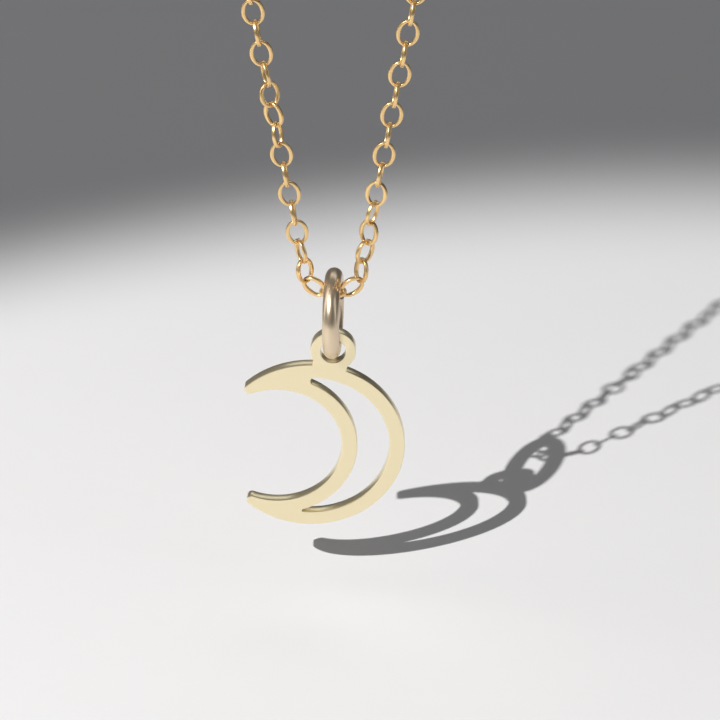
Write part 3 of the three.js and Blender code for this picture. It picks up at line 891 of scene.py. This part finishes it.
class NECKLACE_OT_clasp_rings(bpy.types.Operator):
    """Make the clasp's eye, its connector ring and the end ring, and finish its spring"""

    bl_idname = "necklace.clasp_rings"
    bl_label = "Clasp Rings"

    def execute(self, context):
        s = context.scene.necklace_clasp
        rings = (
            ("clasp_eye", s.eye_wire, "clasp_gold"),
            ("clasp_connector_ring", s.ring_wire, "ring_gold"),
            ("end_ring", s.ring_wire, "ring_gold"),
        )
        for node, wire, metal in rings:
            placed = seat(node)
            turned = Matrix(((1, 0, 0), (0, 0, 1), (0, -1, 0))).to_4x4()
            local = moved(node_points(node), placed.inverted())
            radius = float(np.hypot(local[:, 0], local[:, 2]).max()) - wire / 2
            path = arc(radius, 0, FULL_TURN, 65)[:-1]
            points, faces = tube(path, wire / 2, 20, closed=True, start=(0, 0, 1))
            laid = moved(points, placed @ turned.inverted())
            made = piece(node + "_shape", laid, faces, metal, node)
            outwards(made.data)
        spring = frame["nodes"]["clasp_spring"]
        spring.data.materials.clear()
        spring.data.materials.append(finish("spring_steel"))
        return {"FINISHED"}


class StageSizes(bpy.types.PropertyGroup):
    """The floor, the lights and the camera"""

    floor_drop: length("Floor Drop", "From the pendant's lowest point to the floor", 4.09)
    distance: length("Camera Distance", "From the camera to the point it looks at", 160)
    elevation: FloatProperty(
        name="Elevation", description="Camera above the level", default=math.radians(30.5), subtype="ANGLE"
    )
    look_right: length("Look Right", "The point looked at, across from the strands' middle", 1.472)
    look_down: length("Look Down", "The point looked at, below the bar", 40.34)
    lens: FloatProperty(name="Lens", description="Focal length in millimetres", default=145.5)
    tilt: FloatProperty(
        name="Tilt",
        description="Camera turned about its own line of sight",
        default=math.radians(0.19),
        subtype="ANGLE",
    )
    key_power: FloatProperty(name="Key Power", description="Power of the key light", default=17.8, unit="POWER")
    room: FloatProperty(name="Room", description="Brightness of the room around", default=0.055)


def aim(obj, target):
    way = Vector(target) - obj.location
    obj.rotation_euler = way.to_track_quat("-Z", "Y").to_euler()


class NECKLACE_OT_stage(bpy.types.Operator):
    """Make the plain pale floor, the soft lights and the camera"""

    bl_idname = "necklace.stage"
    bl_label = "Stage"

    def execute(self, context):
        s = context.scene.necklace_stage
        floor_at = cad_box[0][2] - s.floor_drop
        self.floor(floor_at)
        # the key light stands in front of the pendant, to its left and above; its pool ends softly behind it
        key_way = Vector((-0.679, -0.696, 1.0)).normalized()
        lamp_place = Vector((0, 0, -0.043)) + key_way * 0.6
        self.light("key", "SPOT", lamp_place, (-0.01, -0.055, floor_at), s.key_power, (1, 0.985, 0.96),
                   soft=0.0035, cone=math.radians(17.6), edge=0.3)
        self.light("left_softbox", "AREA", (-0.25, 0.02, 0.08), (0, 0, -0.03), 0.13, (1, 1, 1), size=(0.1, 0.3))
        self.light("right_softbox", "AREA", (0.28, -0.12, 0.1), (0, 0, -0.03), 0.1, (1, 1, 1), size=(0.12, 0.3))
        self.light("back_softbox", "AREA", (0.05, 0.3, 0.2), (0, 0, -0.02), 0.13, (1, 1, 1), size=(0.35, 0.12))
        self.room(s.room)

        camera = bpy.data.objects.new("camera", bpy.data.cameras.new("camera"))
        bpy.context.scene.collection.objects.link(camera)
        camera.data.lens = s.lens
        camera.data.sensor_width = 36
        target = Vector((s.look_right, 0, -s.look_down))
        camera.location = target + s.distance * Vector((0, -math.cos(s.elevation), math.sin(s.elevation)))
        aim(camera, target)
        camera.rotation_euler.rotate_axis("Z", s.tilt)
        camera.data.clip_start = 0.001
        camera.data.clip_end = 10
        context.scene.camera = camera
        context.scene.view_settings.view_transform = "Standard"
        return {"FINISHED"}

    def floor(self, height):
        half = 3.0
        mesh = bpy.data.meshes.new("floor")
        mesh.from_pydata(
            [(-half, -half, height), (half, -half, height), (half, half, height), (-half, half, height)],
            [],
            [(0, 1, 2, 3)],
        )
        material = bpy.data.materials.new("floor_paper")
        material.use_nodes = True
        nodes, links = material.node_tree.nodes, material.node_tree.links
        shader = nodes["Principled BSDF"]
        shader.inputs["Roughness"].default_value = 0.62
        place = nodes.new("ShaderNodeTexCoord")
        fibre = nodes.new("ShaderNodeTexNoise")
        fibre.inputs["Scale"].default_value = 700
        fibre.inputs["Detail"].default_value = 4
        links.new(place.outputs["Object"], fibre.inputs["Vector"])
        tint = nodes.new("ShaderNodeValToRGB")
        pale = tuple(bpy.context.scene.necklace_finishes.floor)
        tint.color_ramp.elements[0].color = (*[0.985 * c for c in pale], 1)
        tint.color_ramp.elements[1].color = (*pale, 1)
        links.new(fibre.outputs["Fac"], tint.inputs["Fac"])
        links.new(tint.outputs["Color"], shader.inputs["Base Color"])
        mesh.materials.append(material)
        floor = bpy.data.objects.new("floor", mesh)
        bpy.context.scene.collection.objects.link(floor)

    def light(self, name, kind, place, target, power, tint, size=None, soft=None, cone=None, edge=None):
        data = bpy.data.lights.new(name, kind)
        data.energy = power
        data.color = tint
        if kind == "AREA":
            data.shape = "RECTANGLE"
            data.size, data.size_y = size
        else:
            data.shadow_soft_size = soft
            data.spot_size = cone
            data.spot_blend = edge
        lamp = bpy.data.objects.new(name, data)
        bpy.context.scene.collection.objects.link(lamp)
        lamp.location = place
        aim(lamp, target)

    def room(self, brightness):
        """A dim neutral room."""
        world = bpy.data.worlds.new("room")
        bpy.context.scene.world = world
        world.use_nodes = True
        back = world.node_tree.nodes["Background"]
        back.inputs["Color"].default_value = (0.93, 0.94, 1.0, 1)
        back.inputs["Strength"].default_value = brightness


class NECKLACE_PT_panel(bpy.types.Panel):
    """The necklace's pieces"""

    bl_idname = "NECKLACE_PT_panel"
    bl_label = "Necklace"
    bl_space_type = "VIEW_3D"
    bl_region_type = "UI"
    bl_category = "Necklace"

    def draw(self, context):
        for operator in OPERATORS:
            self.layout.operator(operator.bl_idname)


OPERATORS = (
    NECKLACE_OT_links,
    NECKLACE_OT_jump_ring,
    NECKLACE_OT_pendant,
    NECKLACE_OT_clasp,
    NECKLACE_OT_clasp_rings,
    NECKLACE_OT_wound_chain,
    NECKLACE_OT_stage,
)
GROUPS = {
    "necklace_chain": ChainSizes,
    "necklace_ring": RingSizes,
    "necklace_pendant": PendantSizes,
    "necklace_clasp": ClaspSizes,
    "necklace_finishes": Finishes,
    "necklace_stage": StageSizes,
}


def register():
    for name, group in GROUPS.items():
        bpy.utils.register_class(group)
        setattr(bpy.types.Scene, name, PointerProperty(type=group))
    for operator in OPERATORS:
        bpy.utils.register_class(operator)
    bpy.utils.register_class(NECKLACE_PT_panel)


def unregister():
    bpy.utils.unregister_class(NECKLACE_PT_panel)
    for operator in reversed(OPERATORS):
        bpy.utils.unregister_class(operator)
    for name, group in reversed(GROUPS.items()):
        delattr(bpy.types.Scene, name)
        bpy.utils.unregister_class(group)


def main():
    register()
    bpy.ops.necklace.links()
    bpy.ops.necklace.jump_ring()
    bpy.ops.necklace.pendant()
    bpy.ops.necklace.clasp()
    bpy.ops.necklace.clasp_rings()
    bpy.ops.necklace.wound_chain()
    bpy.ops.necklace.stage()


if __name__ == "__main__":
    main()
